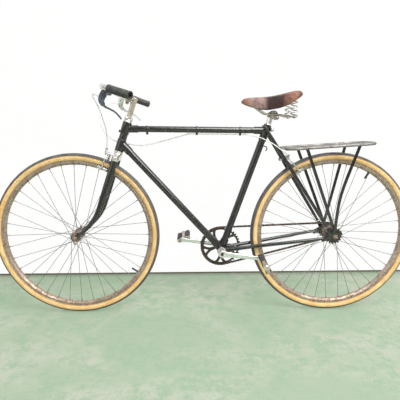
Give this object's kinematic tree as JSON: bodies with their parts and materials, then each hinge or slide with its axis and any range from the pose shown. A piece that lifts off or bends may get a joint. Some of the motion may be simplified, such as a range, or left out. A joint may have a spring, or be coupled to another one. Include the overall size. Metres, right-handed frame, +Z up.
{
  "type": "vintage bicycle",
  "caption": "Vintage lugged-steel bicycle with short swept handlebar, sprung leather saddle, cable brakes and rear rack; wheels, steering, crankset and pedals turn.",
  "frame": {"origin": "where the rider sits, just above the saddle top on the bicycle's middle plane", "axes": "+Z up, +X to the rear of the bicycle, +Y to its right-hand side, the chain side"},
  "size_m": [1.7708, 0.5972, 0.9494],
  "materials": {
    "enamel": "worn black enamel with chips and light rust",
    "chrome": "dull, pitted chrome",
    "alloy": "dull aluminium",
    "rusty_steel": "rusty bare steel",
    "rim_steel": "dull rim steel with rust",
    "dark_steel": "dark oily steel",
    "tyre_rubber": "tan sidewalls and dark grey tread",
    "black_rubber": "black rubber",
    "grip_rubber": "worn dark rubber",
    "leather": "brown leather, creased and worn",
    "cable_housing": "pale grey cable housing",
    "lever_enamel": "blue-grey coated steel"
  },
  "bodies": {
    "frame": {"head_tube": "enamel", "top_tube": "enamel", "down_tube": "enamel", "seat_tube": "enamel", "bracket_shell": "enamel", "chainstays": "enamel", "seatstays": "enamel", "seat_post": "chrome", "saddle_top": "leather", "saddle_frame": "rusty_steel", "saddle_cantle": "rusty_steel", "saddle_spring_left": "rusty_steel", "saddle_spring_right": "rusty_steel", "saddle_clamp": "rusty_steel", "rack_top": "dark_steel", "rack_strut_front_left": "dark_steel", "rack_strut_front_right": "dark_steel", "rack_strut_rear_left": "dark_steel", "rack_strut_rear_right": "dark_steel", "rear_brake_arms": "alloy", "rear_brake_pad_left": "black_rubber", "rear_brake_pad_right": "black_rubber", "rear_brake_cable": "cable_housing", "chain": "dark_steel", "rear_axle": "rusty_steel", "headset_lower_cup": "chrome", "headset_upper_cup": "chrome"},
    "steering": {"fork_crown": "chrome", "fork_blade_left": "enamel", "fork_blade_right": "enamel", "headset_crown_race": "chrome", "headset_locknut": "chrome", "stem": "chrome", "handlebar": "chrome", "grip_left": "grip_rubber", "grip_right": "grip_rubber", "brake_lever_left": "lever_enamel", "brake_lever_right": "alloy", "front_brake_arms": "alloy", "front_brake_pad_left": "black_rubber", "front_brake_pad_right": "black_rubber", "front_brake_cable": "cable_housing", "rear_brake_cable_loop": "cable_housing", "front_axle": "rusty_steel"},
    "front_wheel": {"front_tyre": "tyre_rubber", "front_rim": "rim_steel", "front_hub_and_spokes": "rusty_steel"},
    "rear_wheel": {"rear_tyre": "tyre_rubber", "rear_rim": "rim_steel", "rear_hub_and_spokes": "rusty_steel", "left_cog": "dark_steel"},
    "freewheel": {"drive_cog": "dark_steel"},
    "crankset": {"crank_left": "alloy", "crank_right": "alloy", "chainring": "dark_steel", "bracket_spindle": "dark_steel"},
    "left_pedal": {"pedal_left": "black_rubber"},
    "right_pedal": {"pedal_right": "black_rubber"}
  },
  "joints": [
    {"name": "steering_turn", "type": "hinge", "parent": "frame", "child": "steering", "pos_m": [-0.67056, 0, -0.2319], "axis": [0.3256, 0, 0.9455], "range_deg": [-60, 60], "deforming": ["rear_brake_cable_loop"]},
    {"name": "front_wheel_spin", "type": "hinge", "parent": "steering", "child": "front_wheel", "pos_m": [-0.857, 0, -0.586], "axis": [0, 1, 0], "continuous": true},
    {"name": "rear_wheel_spin", "type": "hinge", "parent": "frame", "child": "rear_wheel", "pos_m": [0.222, 0, -0.586], "axis": [0, 1, 0], "continuous": true},
    {"name": "crank_spin", "type": "hinge", "parent": "frame", "child": "crankset", "pos_m": [-0.2471, 0, -0.654], "axis": [0, 1, 0], "continuous": true},
    {"name": "freewheel_spin", "type": "hinge", "parent": "frame", "child": "freewheel", "pos_m": [0.222, 0, -0.586], "axis": [0, 1, 0], "continuous": true},
    {"name": "left_pedal_spin", "type": "hinge", "parent": "crankset", "child": "left_pedal", "pos_m": [-0.08351, 0, -0.67554], "axis": [0, 1, 0], "continuous": true},
    {"name": "right_pedal_spin", "type": "hinge", "parent": "crankset", "child": "right_pedal", "pos_m": [-0.41069, 0, -0.63246], "axis": [0, 1, 0], "continuous": true}
  ],
  "couplings": [
    {"joint": "freewheel_spin", "follows": "crank_spin", "ratio": 2.4706}
  ]
}
